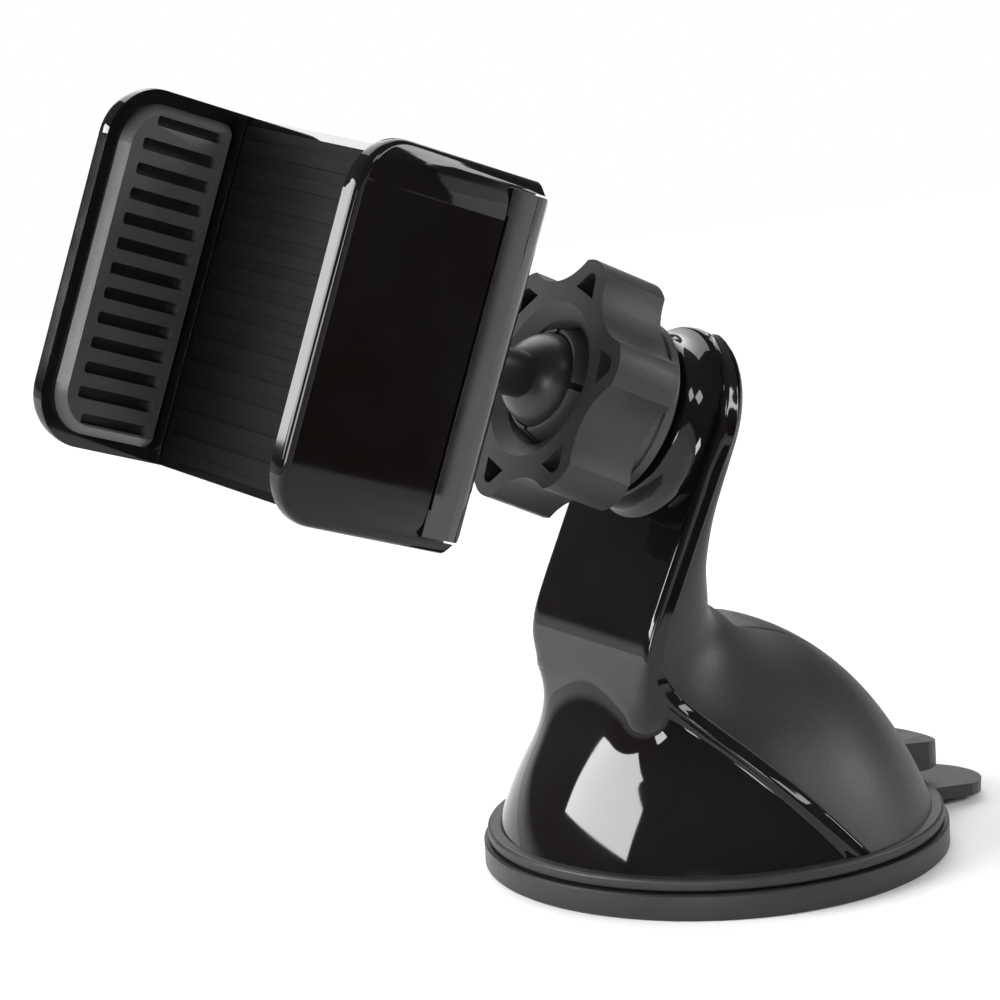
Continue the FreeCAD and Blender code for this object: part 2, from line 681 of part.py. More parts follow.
def make_plate_pad():
    h, left, right, c = 28.6, -26.6, 25.0, 8.0
    k = c * (1 - math.sqrt(0.5))
    base = prism("XY", [(left, -h), (right - c, -h), (right, c - h, right - k, k - h), (right, h - c),
                        (right - c, h, right - k, h - k), (left, h)], 0, 0.5)
    lines = [(row - 6) * S["pad_pitch"] for row in range(13)]
    ribs = [box(left + 1.2, right - 3.0, line - 1.1, line + 1.1, 0.4, 0.9) for line in lines]
    return node(fuse(base, *ribs), "plate_pad", CRADLE)


def make_housing():
    end = face + jaw_wall - 0.2
    h, rear, floor = number(half), number(S["house_back"]), number(S["house_floor"])
    top, e, r = number(S["plate_back"]), number(end), END_RAD
    k = r * (1 - math.sqrt(0.5))
    side_view = prism("YZ", [(-h, rear + SLOPE_DEEP), (SLOPE_WIDE - h, rear), (h - SLOPE_WIDE, rear),
                             (h, rear + SLOPE_DEEP), (h, top), (-h, top)], -end, end)
    end_view = prism("XZ", [(-e, top), (-e, rear + r), (r - e, rear, k - e, rear + k), (e - r, rear),
                            (e, rear + r, e - k, rear + k), (e, top)], -h, h)
    block = common(side_view, end_view)
    boss = cone(0, 0, -19.7, 7.0, 9.0, 3.0)
    slope = floor + SLOPE_DEEP * 0.7
    flat = 28 - SLOPE_WIDE * 0.7
    cavity = prism("YZ", [(-28, slope), (-flat, floor), (flat, floor), (28, slope), (28, 0), (-28, 0)],
                   -27.6, 27.6)
    ends = []
    for side in (-1, 1):
        low, high = sorted((side * 29.75, side * 40.0))
        ends += [box(low, high, -40, 40, back - 0.35, 0), box(low, high, -23.7, 23.7, back - 0.9, 0)]
        foot_low, foot_high = sorted((side * 27.0, side * 30.0))
        ends.append(box(foot_low, foot_high, -21.4, 21.4, back - 1.1, 0))
        for up in (-1, 1):
            tab_low, tab_high = sorted((up * (TAB_FROM - 0.35), up * 40.0))
            ends.append(box(low, high, tab_low, tab_high, -20, 0))
    posts = [rod("z", x, y, floor - 0.5, 2.7, number(S["plate_back"]) - floor + 0.5) for x, y in POSTS]
    holes = [rod("z", 0, 0, -21, 3.05, 10)]
    for x, y in POSTS:
        holes += [rod("z", x, y, -16, 1.06, 15), rod("z", x, y, -19, 2.2, 5.6)]
    for side in (-1, 1):
        holes.append(rod("x", -29.2, side * S["rod_y"], S["rod_z"], S["rod_rad"] + 0.01, 58.4))
    shell = cut(fuse(block, boss), cavity, *ends)
    return node(cut(fuse(shell, *posts), *holes), "cradle_housing", CRADLE)


def make_cradle_screws():
    screws = []
    for x, y in POSTS:
        body = fuse(rod("z", x, y, -14.9, 2.1, 1.5), rod("z", x, y, -13.5, 1.04, 12.6))
        screws.append(cut(body, box(x - 1.3, x + 1.3, y - 0.25, y + 0.25, -15, -14.3),
                          box(x - 0.25, x + 0.25, y - 1.3, y + 1.3, -15, -14.3)))
    return node(group(*screws), "cradle_screws", CRADLE)


make_housing()
make_front_plate()
make_plate_pad()
make_left_jaw()
make_right_jaw()
make_pad(-1, "left_pad")
make_pad(1, "right_pad")
make_cradle_screws()
node(group(*[rod("x", -29.0, side * S["rod_y"], S["rod_z"], S["rod_rad"], 58.0) for side in (-1, 1)]),
     "guide_rods", CRADLE)
node(group(*[coil("x", -5.5, side * S["rod_y"], S["rod_z"], 2.2, 0.35, 32.6, 9) for side in (-1, 1)]),
     "jaw_springs", CRADLE)


# ------------------------------------------------------------------ check and write
doc.recompute()
for obj in doc.Objects:
    if "Invalid" in obj.State or "Error" in obj.State:
        raise SystemExit("%s (%s) failed: %s" % (obj.Name, obj.Label, obj.State))
os.makedirs("parts", exist_ok=True)
for obj in NODES:
    shape = obj.Shape
    if shape.isNull() or not shape.isValid() or not shape.Solids:
        raise SystemExit("%s is not a valid solid" % obj.Label)
    shape.exportStep("parts/%s.step" % obj.Label)
    print("%-16s %d solid(s) %10.1f mm3" % (obj.Label, len(shape.Solids), shape.Volume))
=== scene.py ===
"""Looks of the car phone mount: materials, fine shape and studio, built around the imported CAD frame.

Shapes are worked out in millimetres and turned into metres by MM. Heights are above the dashboard, the
front is towards -Y, and the seam is the line where the gloss front shell meets the matte rear shell.
"""
import math

import bmesh
import bpy
import numpy as np
from mathutils import Matrix, Vector


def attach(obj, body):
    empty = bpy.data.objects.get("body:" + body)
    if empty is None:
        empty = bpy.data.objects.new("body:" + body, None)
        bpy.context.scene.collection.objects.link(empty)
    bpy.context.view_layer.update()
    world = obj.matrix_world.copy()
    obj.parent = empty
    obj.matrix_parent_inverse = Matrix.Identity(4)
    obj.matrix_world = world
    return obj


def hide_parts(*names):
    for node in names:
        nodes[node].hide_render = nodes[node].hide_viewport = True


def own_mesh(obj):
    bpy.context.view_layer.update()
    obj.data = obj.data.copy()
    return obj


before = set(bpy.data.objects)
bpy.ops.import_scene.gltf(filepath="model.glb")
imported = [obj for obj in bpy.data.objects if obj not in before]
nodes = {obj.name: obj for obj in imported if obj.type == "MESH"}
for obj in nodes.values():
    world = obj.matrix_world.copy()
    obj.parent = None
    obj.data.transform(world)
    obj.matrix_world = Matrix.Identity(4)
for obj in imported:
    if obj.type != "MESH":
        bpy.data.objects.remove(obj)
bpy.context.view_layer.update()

# ------------------------------------------------------------------ frames
# HEAD has its origin at the ball and its z along the socket's axis; CRADLE has its origin in the middle of
# the phone plate, x across the phone, y up it and z towards it. ACROSS is the cradle's x in the part's frame.
MM = 0.001
BALL_Y, BALL_Z = -30.1, 90.6
HEAD_LEAN = math.radians(26.0)
COS_LEAN, SIN_LEAN = 0.8988, 0.4384  # of HEAD_LEAN
STEM_REACH = 57.0
CRADLE_YAW, CRADLE_LEAN, CRADLE_TWIST = (math.radians(angle) for angle in (12.93, -19.26, 6.61))

BALL = Vector((0.0, BALL_Y, BALL_Z)) * MM
HEAD = Matrix.Translation(BALL) @ Matrix.Rotation(math.pi / 2 - HEAD_LEAN, 4, "X")
CRADLE_TURN = (Matrix.Rotation(CRADLE_YAW, 4, "Z") @ Matrix.Rotation(CRADLE_LEAN, 4, "X")
               @ Matrix.Rotation(CRADLE_TWIST, 4, "Y") @ Matrix.Rotation(math.pi / 2, 4, "X"))
CRADLE = Matrix.Translation(BALL) @ CRADLE_TURN @ Matrix.Translation(Vector((0, 0, STEM_REACH)) * MM)
ACROSS = CRADLE_TURN.to_3x3() @ Vector((1, 0, 0))


# ------------------------------------------------------------------ materials
class Nodes:
    """One material's node tree, with a short method for each kind of node that the materials use."""

    def __init__(self, name):
        self.mat = bpy.data.materials.new(name)
        self.mat.use_nodes = True
        self.tree = self.mat.node_tree
        self.shader = self.tree.nodes["Principled BSDF"]

    def feed(self, into, value):
        """Links an input to another node's output, or sets it to a plain value."""
        if isinstance(value, bpy.types.NodeSocket):
            self.tree.links.new(value, into)
        else:
            into.default_value = value

    def node(self, kind, **inputs):
        """A new node with its inputs fed; an underscore stands for the space in an input's name."""
        made = self.tree.nodes.new(kind)
        for key, value in inputs.items():
            self.feed(made.inputs[key.replace("_", " ")], value)
        return made

    def noise(self, scale, detail=3.0, rough=0.5, stretch=(1, 1, 1)):
        """Noise on the object's own coordinates, in metres."""
        coord = self.node("ShaderNodeTexCoord")
        space = self.node("ShaderNodeMapping", Vector=coord.outputs["Object"], Scale=stretch)
        made = self.node("ShaderNodeTexNoise", Vector=space.outputs["Vector"], Scale=scale, Detail=detail,
                         Roughness=rough)
        return made.outputs["Fac"]

    def ramp(self, fac, low, high, start=0.3, end=0.7):
        """A number that goes from low to high while fac goes from start to end."""
        made = self.node("ShaderNodeMapRange", Value=fac, From_Min=start, From_Max=end, To_Min=low,
                         To_Max=high)
        return made.outputs["Result"]

    def colours(self, fac, dark, light, start=0.35, end=0.65):
        """A colour that goes from dark to light while fac goes from start to end."""
        made = self.node("ShaderNodeValToRGB", Fac=fac)
        for stop, position, colour in zip(made.color_ramp.elements, (start, end), (dark, light)):
            stop.position, stop.color = position, (*colour, 1)
        return made.outputs["Color"]

    def total(self, first, second):
        """The sum of two numbers."""
        made = self.node("ShaderNodeMath")
        made.operation = "ADD"
        self.feed(made.inputs[0], first)
        self.feed(made.inputs[1], second)
        return made.outputs[0]

    def bump(self, height, distance, strength):
        """A normal that follows height, whose full relief is distance, in metres."""
        made = self.node("ShaderNodeBump", Height=height, Distance=distance, Strength=strength)
        return made.outputs["Normal"]

    def paint_slot_shade(self, colour, deep, proud):
        """Painted shade in the slots: the colour, nearly black at deep and full at proud, in millimetres
        along the cradle's width.
        """
        coord = self.node("ShaderNodeTexCoord")
        place = self.tree.nodes.new("ShaderNodeVectorMath")
        place.operation = "DOT_PRODUCT"
        self.feed(place.inputs[0], coord.outputs["Object"])
        self.feed(place.inputs[1], ACROSS)
        middle = CRADLE.translation.dot(ACROSS)
        fade = self.ramp(place.outputs["Value"], 0.15, 1.0, middle + deep * MM, middle + proud * MM)
        shade = self.tree.nodes.new("ShaderNodeVectorMath")
        shade.operation = "SCALE"
        self.feed(shade.inputs[0], colour)
        self.feed(shade.inputs["Scale"], fade)
        return shade.outputs["Vector"]

    def set(self, **inputs):
        """Feeds the shader's own inputs, and gives back the finished material."""
        for key, value in inputs.items():
            self.feed(self.shader.inputs[key.replace("_", " ")], value)
        return self.mat


def shades(tone, tint):
    """A grey of the given tone with a slight tint."""
    return tuple(tone * part for part in tint)


def gloss_plastic(name, level, tone=0.004):
    """Piano-black moulding: faint flow waviness and handling haze under a clear hard gloss."""
    n = Nodes(name)
    haze = n.noise(55.0, detail=4.0, rough=0.6)
    flow = n.noise(38.0, detail=1.5, rough=0.4)
    dust = n.noise(2600.0, detail=2.0, rough=0.6)
    return n.set(
        Base_Color=n.colours(haze, shades(tone, (1.0, 0.8, 0.7)), shades(tone, (1.45, 1.27, 1.15))),
        Roughness=n.total(n.ramp(haze, 0.03, 0.065), n.ramp(dust, 0.0, 0.02, start=0.6, end=0.8)),
        Specular_IOR_Level=level,
        Normal=n.bump(flow, distance=0.00006, strength=0.3))


def grained_plastic(name, tone, rough, grain, depth, level):
    """Spark-eroded matte moulding: fine even grain with slight tone and sheen variation."""
    n = Nodes(name)
    cool = (1, 1, 1.02)
    fine = n.noise(grain, detail=2.0, rough=0.6)
    cloud = n.noise(42.0)
    return n.set(
        Base_Color=n.colours(cloud, shades(tone * 0.86, cool), shades(tone * 1.14, cool)),
        Roughness=n.total(n.ramp(cloud, rough - 0.04, rough + 0.04), n.ramp(fine, -0.03, 0.05)),
        Specular_IOR_Level=level,
        Normal=n.bump(fine, distance=depth, strength=0.8))


def rubber(name, tone, rough, tint, level, deep=None):
    """Moulded rubber: a bloom that comes and goes in patches over a very fine tooth.

    deep gives the places, in millimetres along the cradle's width, of the slots' floor and of the face;
    between them the colour is darkened as painted shade in the slots.
    """
    n = Nodes(name)
    tooth = n.noise(2600.0, detail=2.0, rough=0.7)
    bloom = n.noise(30.0, detail=4.0, rough=0.6)
    colour = n.colours(bloom, shades(tone * 0.82, tint), shades(tone * 1.2, tint))
    if deep:
        colour = n.paint_slot_shade(colour, *deep)
    return n.set(
        Base_Color=colour,
        Roughness=n.total(n.ramp(bloom, rough - 0.06, rough + 0.06), n.ramp(tooth, -0.03, 0.03)),
        Specular_IOR_Level=level,
        Normal=n.bump(tooth, distance=0.00003, strength=0.6))


def steel(name, tone, rough, stretch):
    """Bright steel: fine lines left by drawing or turning, with a slightly uneven plating."""
    n = Nodes(name)
    lines = n.noise(160.0, rough=0.6, stretch=stretch)
    stain = n.noise(90.0)
    return n.set(
        Base_Color=n.colours(stain, shades(tone, (0.8, 0.8, 0.82)), shades(tone, (1.1, 1.1, 1.1))),
        Metallic=1.0,
        Roughness=n.total(n.ramp(lines, rough - 0.08, rough + 0.08), n.ramp(stain, 0.0, 0.06)),
        Normal=n.bump(lines, distance=0.00002, strength=0.5))


GLOSS = gloss_plastic("gloss_black", level=0.36)
# a shaded copy of the gloss black: its weaker reflection is painted shade that keeps the right jaw's face
# dark
SHADED_GLOSS = gloss_plastic("shaded_gloss_black", level=0.22)
# a lit copy of the gloss black: its lighter tone and stronger reflection are painted light that brightens the
# cradle's housing
LIT_GLOSS = gloss_plastic("lit_gloss_black", level=0.75, tone=0.006)
MATTE = grained_plastic("matte_black", tone=0.013, rough=0.46, grain=1900.0, depth=0.00004, level=0.4)
NUT = grained_plastic("nut_black", tone=0.024, rough=0.5, grain=2300.0, depth=0.00006, level=0.35)
INNER = grained_plastic("inner_plastic", tone=0.03, rough=0.42, grain=1500.0, depth=0.00002, level=0.4)
CUP = rubber("cup_rubber", tone=0.013, rough=0.42, tint=(1, 1, 1), level=0.4)
# the grips' colour is darkened from the face down to the slots' floor: painted shade in the slots
SLOT_FLOOR, GRIP_FACE = 29.6, 28.6
LEFT_GRIP, RIGHT_GRIP = [
    rubber(name, tone=0.04, rough=0.36, tint=(0.96, 1.03, 1.0), level=0.55,
           deep=(side * SLOT_FLOOR, side * GRIP_FACE))
    for name, side in (("left_grip_rubber", -1), ("right_grip_rubber", 1))]
MAT_RUBBER = rubber("plate_rubber", tone=0.0035, rough=0.42, tint=(0.95, 1.0, 1.15), level=0.035)
BALL_LOOK = grained_plastic("ball_plastic", tone=0.014, rough=0.36, grain=1500.0, depth=0.000004, level=0.45)
STEEL = steel("steel", tone=0.55, rough=0.28, stretch=(1, 1, 30))
WIRE = steel("spring_steel", tone=0.42, rough=0.32, stretch=(1, 1, 1))

PAINT = {
    GLOSS: ("front_shell", "front_plate", "left_jaw"),
    SHADED_GLOSS: ("right_jaw",),
    LIT_GLOSS: ("cradle_housing",),
    MATTE: ("rear_shell", "base_ring", "lever"),
    NUT: ("clamp_nut",),
    INNER: ("base_frame", "pull_stud", "socket", "ball_liner"),
    BALL_LOOK: ("ball_stud",),
    CUP: ("suction_cup",),
    LEFT_GRIP: ("left_pad",),
    RIGHT_GRIP: ("right_pad",),
    MAT_RUBBER: ("plate_pad",),
    STEEL: ("lever_pins", "cam_pin", "base_screws", "socket_screw", "socket_washer", "stem_screw",
            "stem_washer", "guide_rods", "cradle_screws"),
    WIRE: ("release_spring", "jaw_springs"),
}
for material, names in PAINT.items():
    for name in names:
        nodes[name].data.materials.clear()
        nodes[name].data.materials.append(material)


# ------------------------------------------------------------------ edges of the CAD's own pieces
def soften(name, width, segments):
    """Welds the node's split vertices and rounds its sharp edges by width, in millimetres."""
    obj = nodes[name]
    join = obj.modifiers.new("Weld", "WELD")
    join.merge_threshold = 0.002 * MM
    bevel = obj.modifiers.new("Bevel", "BEVEL")
    bevel.width = width * MM
    bevel.segments = segments
    bevel.limit_method = "ANGLE"
    bevel.angle_limit = math.radians(35.0)
    bevel.harden_normals = True
    bevel.miter_outer = "MITER_ARC"


EDGES = {
    0.45: ("clamp_nut",),
    0.4: ("right_jaw", "left_jaw", "lever"),
    0.35: ("front_plate",),
    0.3: ("cradle_housing",),
    0.25: ("base_ring", "socket", "suction_cup"),
}
for width, names in EDGES.items():
    for name in names:
        soften(name, width, segments=3)
for name in ("left_pad", "right_pad", "plate_pad"):
    soften(name, 0.2, segments=2)

# ------------------------------------------------------------------ the base's moulded shells
# The front and rear shells are one flowing form: the surface where the dome, the arm and the neck run into
# each other, with a raised band along the seam. A gap function is negative inside its body, and outside it
# is about the distance to it. The tables hold (height, value): the y of the seam and of the arm's face, the
# neck's depth behind the seam, the rounding of the arm's edges, and the tilt of each row in degrees.
SEAM = np.array([(0, 10.9), (31.3, -15.5), (34.5, -18.4), (37.2, -20.4), (40, -21.6), (43, -22.0),
                 (46.6, -21.2), (50.2, -19.1), (107, 8.6)])
FACE = np.array([(0, -25.9), (36, -25.9), (40, -25.55), (43.6, -24.7), (47.5, -23.6), (51.2, -22.3),
                 (107, 4.93)])
NECK = np.array([(0, 19.0), (26, 19.0), (43, 17.4), (50, 13.6), (57, 9.0), (66, 5.6), (80, 4.4), (100, 4.0)])
ARM_EDGE = np.array([(22, 15.0), (30, 8.0), (36, 2.6), (42, 1.1)])
REAR_TILT = np.array([(7.1, 0), (15, 12), (24, 28), (30, 36), (34, 38), (40, 30), (48, 14), (56, -6),
                      (66, -26)])
FRONT_TILT = np.array([(7.1, 0), (34, 0), (58, 26)])

HALF_ARM = 18.6
# the seam and the arm's face lean, so the distance to them is this much of the distance along y
LEANING = 0.93
# the dome's outline is two arcs, each with its centre's radius and height and then its own radius
UPPER_ARC = (-9.49, -2.76, 48.7)
LOWER_ARC = (-24.0, -13.4, 66.7)
# the power of the neck's oval section: 2 would be an ellipse
NECK_FULLNESS = 2.3
POD_FRONT, POD_DEEP, POD_RADIUS, POD_TAPER = 27.6, 4.6, 18.3, 1.3
# the rear dome stands PROUD of the front one at the seam; that dies away over PROUD_SPREAD degrees round from
# the seam, and over the last PROUD_FADE of height below PROUD_TOP
PROUD, PROUD_SPREAD, PROUD_TOP, PROUD_FADE = 0.9, 24.0, 48, 20
# the band's depth in front of the seam, and the height from which it turns round with the head
BAND_DEEP, BAND_ROUND_FROM = 3.0, 60
# how far the corner between two bodies is filled, and how far a body's own edge is rounded
DOME_TO_NECK, DOME_TO_ARM, TO_POD, TO_BAND = 9.0, 6.0, 1.5, 2.2
POD_EDGE, BAND_EDGE = 2.0, 1.2
GROOVE, GROOVE_HALF = 0.22, 0.3
SKIN_WALL = 1.4
SLOT_HALF, SLOT_FRONT, SLOT_TOP = 8.75, 0.33, 50.0


def read(table, q):
    """The table's value at q, held level past its ends."""
    return np.interp(q, table[:, 0], table[:, 1])


def eased(table, spread):
    """A table as a smooth function of height: its kinks are rounded over about spread, in millimetres."""
    step, reach = 0.25, 24
    (z0, y0), (z1, y1) = table[:2]
    z = np.arange(-20.0, 130.0, step)
    y = read(table, z)
    below = z < z0
    y[below] = y0 + (z[below] - z0) * ((y1 - y0) / (z1 - z0))
    kernel = np.exp(-0.5 * (np.arange(-reach, reach + 1) * step / spread) ** 2)
    smooth = np.convolve(np.pad(y, reach, mode="edge"), kernel / kernel.sum(), mode="valid")
    return lambda q: np.interp(q, z, smooth)


seam_y, face_y, neck_deep = eased(SEAM, spread=1.6), eased(FACE, spread=1.6), eased(NECK, spread=2.0)


def smin(a, b, k):
    """The smaller of two gaps, with the edge between the bodies filled over k."""
    h = np.clip(0.5 + 0.5 * (b - a) / k, 0.0, 1.0)
    return b * (1 - h) + a * h - k * h * (1 - h)


def smax(a, b, k):
    """The larger of two gaps, with the edge of the shared body rounded over k."""
    return -smin(-a, -b, k)


def dome_gap(x, y, z, grow=0.0):
    """The dome, grown by grow."""
    r = np.hypot(x, y)
    (upper_r, upper_z, upper), (lower_r, lower_z, lower) = UPPER_ARC, LOWER_ARC
    on_upper = (upper_r - lower_r) * (z - upper_z) > (upper_z - lower_z) * (r - upper_r)
    return np.where(on_upper, np.hypot(r - upper_r, z - upper_z) - upper,
                    np.hypot(r - lower_r, z - lower_z) - lower) - grow


def head_up(y, z):
    """Up the head, square to the socket's axis, from the ball."""
    return (y - BALL_Y) * SIN_LEAN + (z - BALL_Z) * COS_LEAN


def head_forward(y, z):
    """Forwards along the socket's axis, from the ball."""
    return (z - BALL_Z) * SIN_LEAN - (y - BALL_Y) * COS_LEAN


def arm_gap(x, y, z):
    """The arm: a leaning slab with a round top, whose edges are fuller towards the dome."""
    side = np.hypot(x, np.maximum(head_up(y, z), 0.0)) - HALF_ARM
    return smax(side, (face_y(z) - y) * LEANING, read(ARM_EDGE, z))


def neck_gap(x, y, z):
    """The rear of the arm: half a rounded oval behind the seam, which deepens down into the dome."""
    deep = (y - seam_y(z)) * LEANING
    across = np.hypot(x, np.maximum(head_up(y, z), 0.0))
    back = neck_deep(z)
    oval = (across / HALF_ARM) ** NECK_FULLNESS + (np.maximum(deep, 0) / back) ** NECK_FULLNESS
    return (oval ** (1 / NECK_FULLNESS) - 1) * np.minimum(HALF_ARM, back)


def pod_gap(x, y, z):
    """The low round pod behind the head."""
    behind = -(head_forward(y, z) + POD_FRONT)
    return smax(np.hypot(x, head_up(y, z)) - (POD_RADIUS - POD_TAPER * behind), behind - POD_DEEP, POD_EDGE)


def rear_gap(x, y, z, edge):
    """The matte rear; edge is the fan angle from the seam, in degrees."""
    proud = PROUD * np.exp(-(edge / PROUD_SPREAD) ** 2) * np.clip((PROUD_TOP - z) / PROUD_FADE, 0, 1)
    body = smin(dome_gap(x, y, z, proud), neck_gap(x, y, z), DOME_TO_NECK)
    return smin(body, pod_gap(x, y, z), TO_POD)


def front_gap(x, y, z, edge):
    """The gloss front: dome and arm run together, with the raised band that follows the seam.

    It takes edge only to be called as rear_gap is.
    """
    body = smin(dome_gap(x, y, z), arm_gap(x, y, z), DOME_TO_ARM)
    across = np.hypot(x, np.maximum(head_up(y, z), 0) * (z > BAND_ROUND_FROM))
    band = smax(across - seam_half(z), (seam_y(z) - BAND_DEEP) - y, BAND_EDGE)
    return smin(body, band, TO_BAND)


def cast(gap, origins, directions):
    """The distance from each origin to where gap first turns positive along its direction."""
    def at(t):
        spot = origins + directions * t[..., None]
        return gap(spot[..., 0], spot[..., 1], spot[..., 2])

    step, farthest, halvings = 0.5, 70.0, 22
    low = np.zeros(origins.shape[:-1])
    high = np.full(origins.shape[:-1], farthest)
    found = np.zeros(origins.shape[:-1], dtype=bool)
    for t in np.arange(step, farthest, step):
        out = at(np.full(low.shape, t)) > 0
        first = out & ~found
        high[first], low[first] = t, t - step
        found |= out
    for _ in range(halvings):
        mid = 0.5 * (low + high)
        out = at(mid) > 0
        high, low = np.where(out, mid, high), np.where(out, low, mid)
    return 0.5 * (low + high)


def row_levels():
    """Heights on the seam, from the base ring up, closer together where the head's top closes."""
    lowest, step, top = 7.1, 0.8, 94.0
    even = [lowest + step * i for i in range(int((top - lowest) / step))]
    closing = [94.2, 94.6, 94.85, 95.0, 95.08]
    return np.array(even + closing)


def fan_angles():
    """Angles round from one side of the seam to the other, in degrees, closer together near the seam."""
    closest = [0.0, 0.35, 0.8, 1.4]
    fine = [2.0 + 0.6 * i for i in range(30)]
    coarse = [20.5 + 2.2 * i for i in range(32)]
    half = np.array([a for a in closest + fine + coarse if a < 89.5] + [90.0])
    return np.concatenate([half, 180.0 - half[:-1][::-1]])


ROWS, FAN = row_levels(), fan_angles()
FROM_SEAM = np.minimum(FAN, 180 - FAN)


def sweep_rows(gap, facing, tilt):
    """A grid of points on a surface: a row for each height on the seam and a column for each fan angle.

    Each row's fan spreads from the middle plane at the seam towards facing along y, tilted up by the table's
    angle. Its ends dip by GROOVE, so that a fine groove runs along the seam.
    """
    tilts, turn = np.radians(read(tilt, ROWS)), np.radians(FAN)
    origins = np.zeros((len(ROWS), len(FAN), 3))
    origins[..., 1], origins[..., 2] = seam_y(ROWS)[:, None], ROWS[:, None]
    directions = np.stack([np.broadcast_to(np.cos(turn), (len(ROWS), len(FAN))),
                           facing * np.sin(turn) * np.cos(tilts)[:, None],
                           np.sin(turn) * np.sin(tilts)[:, None]], axis=-1)
    reach = cast(lambda x, y, z: gap(x, y, z, np.broadcast_to(FROM_SEAM, x.shape)), origins, directions)
    along = reach * np.radians(FROM_SEAM)
    reach = reach - GROOVE * np.clip(1 - along / GROOVE_HALF, 0, 1) ** 2
    return origins + directions * reach[..., None]


rear_grid = sweep_rows(rear_gap, 1, REAR_TILT)


def seam_half(z):
    """Half the width of the rear shell at the seam, which the band follows."""
    return np.interp(z, ROWS, rear_grid[:, 0, 0] + GROOVE)


front_grid = sweep_rows(front_gap, -1, FRONT_TILT)


def piece(name, verts, faces, placement, material, body):
    """A smooth mesh piece given in millimetres, placed, painted and riding on a body."""
    mesh = bpy.data.meshes.new(name)
    mesh.from_pydata([placement @ (Vector(v) * MM) for v in verts], [], faces)
    mesh.validate()
    for face in mesh.polygons:
        face.use_smooth = True
    mesh.set_sharp_from_angle(angle=math.radians(50.0))
    obj = bpy.data.objects.new(name, mesh)
    bpy.context.collection.objects.link(obj)
    mesh.materials.append(material)
    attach(obj, body)
    return obj


def settle(obj):
    """Applies an object's modifiers."""
    mesh = bpy.data.meshes.new_from_object(obj.evaluated_get(bpy.context.evaluated_depsgraph_get()))
    obj.modifiers.clear()
    obj.data = mesh
    mesh.set_sharp_from_angle(angle=math.radians(40.0))
    return obj


def open_slot(mesh):
    """Takes away the faces of the dome where the lever lies."""
    work = bmesh.new()
    work.from_mesh(mesh)
    for spot, way in (((SLOT_HALF, 0, 0), (1, 0, 0)), ((-SLOT_HALF, 0, 0), (1, 0, 0)),
                      ((0, SLOT_FRONT, 0), (0, 1, 0))):
        bmesh.ops.bisect_plane(work, geom=work.verts[:] + work.edges[:] + work.faces[:],
                               plane_co=Vector(spot) * MM, plane_no=way)
    inside = []
    for face in work.faces:
        middle = face.calc_center_median() / MM
        if abs(middle.x) < SLOT_HALF and middle.y > SLOT_FRONT and middle.z < SLOT_TOP:
            inside.append(face)
    bmesh.ops.delete(work, geom=inside, context="FACES")
    work.to_mesh(mesh)
    work.free()


def skin(name, grid, material, body, facing, slotted=False):
    """A moulded skin of even thickness on a grid of points, closed by one face over its last row."""
    rows, columns = grid.shape[:2]
    verts = [tuple(p) for p in grid.reshape(-1, 3)]
    faces = [(r * columns + c, r * columns + c + 1, (r + 1) * columns + c + 1, (r + 1) * columns + c)
             for r in range(rows - 1) for c in range(columns - 1)]
    faces.append(tuple((rows - 1) * columns + c for c in range(columns)))
    if facing < 0:
        faces = [face[::-1] for face in faces]
    obj = piece(name, verts, faces, Matrix.Identity(4), material, body)
    wall = obj.modifiers.new("Wall", "SOLIDIFY")
    wall.thickness = SKIN_WALL * MM
    wall.offset = -1.0
    if slotted:
        open_slot(obj.data)
    return settle(obj)


def lathe(name, profile, placement, material, body, sides=144):
    """A closed (radius, height) outline turned about the local z axis."""
    count = len(profile)
    turns = [2 * math.pi * i / sides for i in range(sides)]
    verts = [(r * math.cos(t), r * math.sin(t), z) for t in turns for r, z in profile]
    faces = [(i * count + j, ((i + 1) % sides) * count + j, ((i + 1) % sides) * count + (j + 1) % count,
              i * count + (j + 1) % count) for i in range(sides) for j in range(count)]
    return piece(name, verts, faces, placement, material, body)


# the round collar behind the nut, whose side flares out into the arm's face
COLLAR = [(8.2, -18.7), (14.4, -18.7), (14.8, -18.85), (15.05, -19.25), (15.2, -20.4), (15.5, -21.8),
          (16.1, -23.0), (17.0, -23.9), (18.2, -24.4), (18.2, -25.2), (8.2, -25.2)]

front_skin = skin("front_shell_skin", front_grid, GLOSS, "base", -1)
rear_skin = skin("rear_shell_skin", rear_grid, MATTE, "base", 1, slotted=True)
collar = lathe("collar_skin", COLLAR, HEAD, GLOSS, "base")
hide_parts("front_shell")
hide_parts("front_shell")
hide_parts("rear_shell")

# ------------------------------------------------------------------ the jaw springs
# they lie inside the housing, towards its end wall; a copy of their mesh, with data of its own, rides on the
# cradle in place of the imported springs
springs = bpy.data.objects.new("jaw_springs_soft", nodes["jaw_springs"].data.copy())
bpy.context.collection.objects.link(springs)
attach(springs, "cradle")
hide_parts("jaw_springs")
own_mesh(springs)


# ------------------------------------------------------------------ studio, in metres
def plane(name, corners, material):
    """A flat face on the given corners."""
    mesh = bpy.data.meshes.new(name)
    mesh.from_pydata([Vector(c) for c in corners], [], [range(len(corners))])
    obj = bpy.data.objects.new(name, mesh)
    bpy.context.collection.objects.link(obj)
    obj.data.materials.append(material)
    return obj


FLOOR_HALF, FLOOR_Z = 0.8, -0.0001
floor_look = Nodes("floor")
floor_tone = floor_look.noise(3.0, detail=2.0)
floor_mat = floor_look.set(Base_Color=floor_look.colours(floor_tone, (0.86,) * 3, (0.9,) * 3),
                           Roughness=floor_look.ramp(floor_tone, 0.6, 0.7), Specular_IOR_Level=0.2)
CORNERS = ((-1, -1), (1, -1), (1, 1), (-1, 1))
floor = plane("floor", [(x * FLOOR_HALF, y * FLOOR_HALF, FLOOR_Z) for x, y in CORNERS], floor_mat)

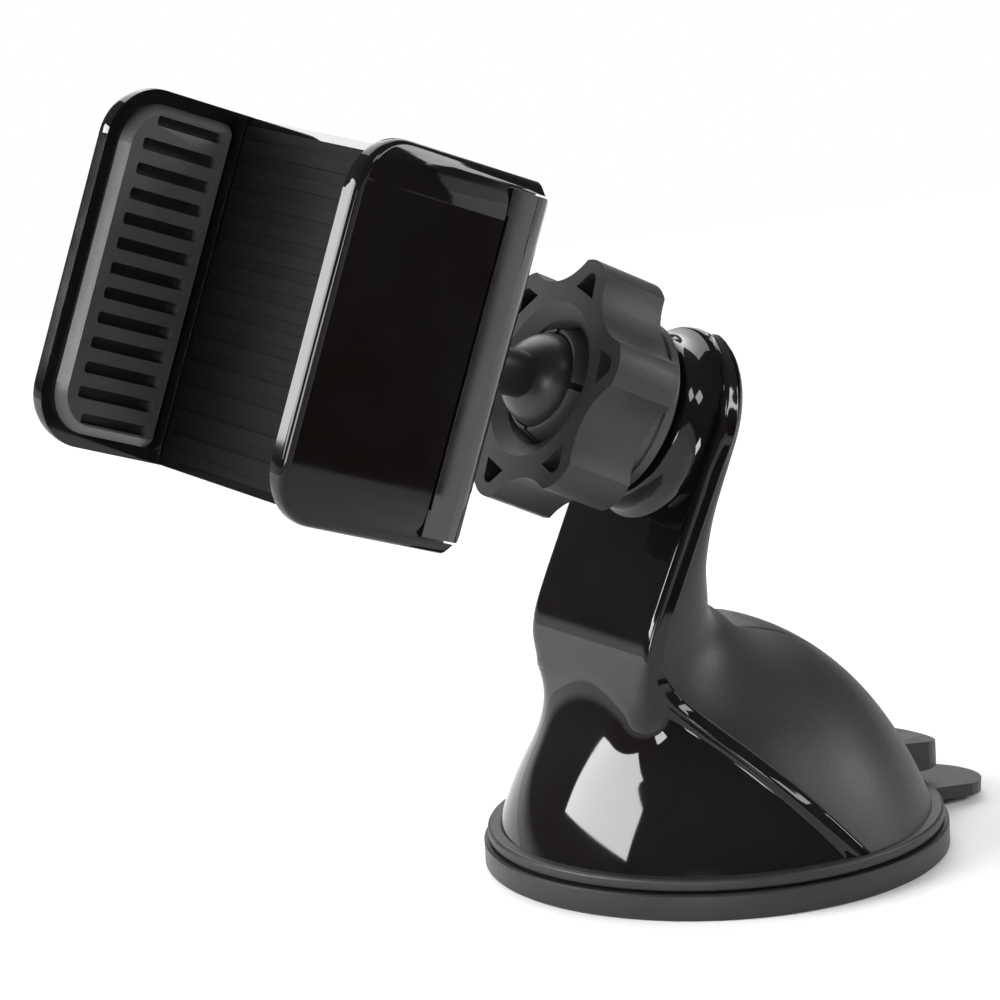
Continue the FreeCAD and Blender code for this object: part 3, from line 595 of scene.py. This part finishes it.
# (sine of the elevation, grey): the backdrop is white at the horizon, and dim grey over it
BACKDROP = ((0.0, 1.0), (0.03, 1.0), (0.1, 0.1), (0.5, 0.16))
world = bpy.data.worlds.new("studio")
bpy.context.scene.world = world
world.use_nodes = True
sky = world.node_tree
sky_coord = sky.nodes.new("ShaderNodeTexCoord")
sky_split = sky.nodes.new("ShaderNodeSeparateXYZ")
sky_ramp = sky.nodes.new("ShaderNodeValToRGB")
sky.links.new(sky_coord.outputs["Generated"], sky_split.inputs[0])
sky.links.new(sky_split.outputs["Z"], sky_ramp.inputs["Fac"])
sky.links.new(sky_ramp.outputs["Color"], sky.nodes["Background"].inputs["Color"])
stops = sky_ramp.color_ramp.elements
stops.remove(stops[1])
for i, (sine, grey) in enumerate(BACKDROP):
    stop = stops.new(sine) if i else stops[0]
    stop.color = (grey, grey, grey, 1)


def softbox(name, azimuth, elevation, distance, width, height, radiance, aim=(0, -0.02, 0.06)):
    """A soft box seen from the object at the given azimuth (from +X towards +Y) and elevation, in degrees."""
    az, el = math.radians(azimuth), math.radians(elevation)
    away = Vector((math.cos(az) * math.cos(el), math.sin(az) * math.cos(el), math.sin(el)))
    data = bpy.data.lights.new(name, "AREA")
    data.shape = "RECTANGLE"
    data.size, data.size_y = width, height
    data.energy = radiance * width * height * math.pi
    obj = bpy.data.objects.new(name, data)
    bpy.context.collection.objects.link(obj)
    obj.location = Vector(aim) + away * distance
    obj.rotation_euler = (-away).to_track_quat("-Z", "Y").to_euler()


softbox("front_left_box", -106, 26, distance=1.0, width=0.84, height=0.32, radiance=19.0)
softbox("side_box", 58, 20, distance=1.3, width=0.7, height=0.3, radiance=12.0)
softbox("collar_box", 30, 36, distance=1.3, width=0.32, height=0.3, radiance=9.0, aim=(0, -0.02, 0.09))
softbox("camera_box", -40, 8, distance=1.4, width=0.5, height=0.28, radiance=18.0, aim=(0, -0.09, 0.11))
softbox("back_box", 156, 50, distance=1.7, width=1.6, height=1.6, radiance=3.1, aim=(-0.15, 0.15, 0.0))

# two black cards that only the gloss sees: one lies to the right and keeps the right jaw's face deep black,
# and one stands beyond it and keeps the jaw's rolled top dark
card_look = Nodes("card")
card_mat = card_look.set(Base_Color=card_look.colours(card_look.noise(40.0), (0.004,) * 3, (0.008,) * 3),
                         Roughness=0.9, Specular_IOR_Level=0.0)
card = plane("card", [(0.174, 0.100, 0.001), (0.25, 0.078, 0.001), (0.52, 0.44, 0.001), (0.37, 0.40, 0.001)],
             card_mat)
stand = plane("card_stand", [(0.28, 0.43, 0.0), (0.58, 0.41, 0.0), (0.58, 0.41, 0.32), (0.28, 0.43, 0.32)],
              card_mat)
for flag in (card, stand):
    flag.visible_camera = flag.visible_shadow = flag.visible_diffuse = False

# ------------------------------------------------------------------ camera
camera = bpy.data.objects.new("camera", bpy.data.cameras.new("camera"))
bpy.context.collection.objects.link(camera)
camera.data.sensor_width = 36.0
camera.data.lens = 119.94
camera.data.clip_start = 0.01
right = Vector((0.5155381, 0.85462105, -0.06199453))
up = Vector((-0.1356942, 0.15286444, 0.97888689))
back = Vector((0.84605411, -0.49624119, 0.19477456))
standing = Vector((0.4882046, -0.3277253, 0.1838156))
camera.matrix_world = Matrix.Translation(standing) @ Matrix((right, up, back)).transposed().to_4x4()
bpy.context.scene.camera = camera
bpy.context.scene.view_settings.view_transform = "Standard"
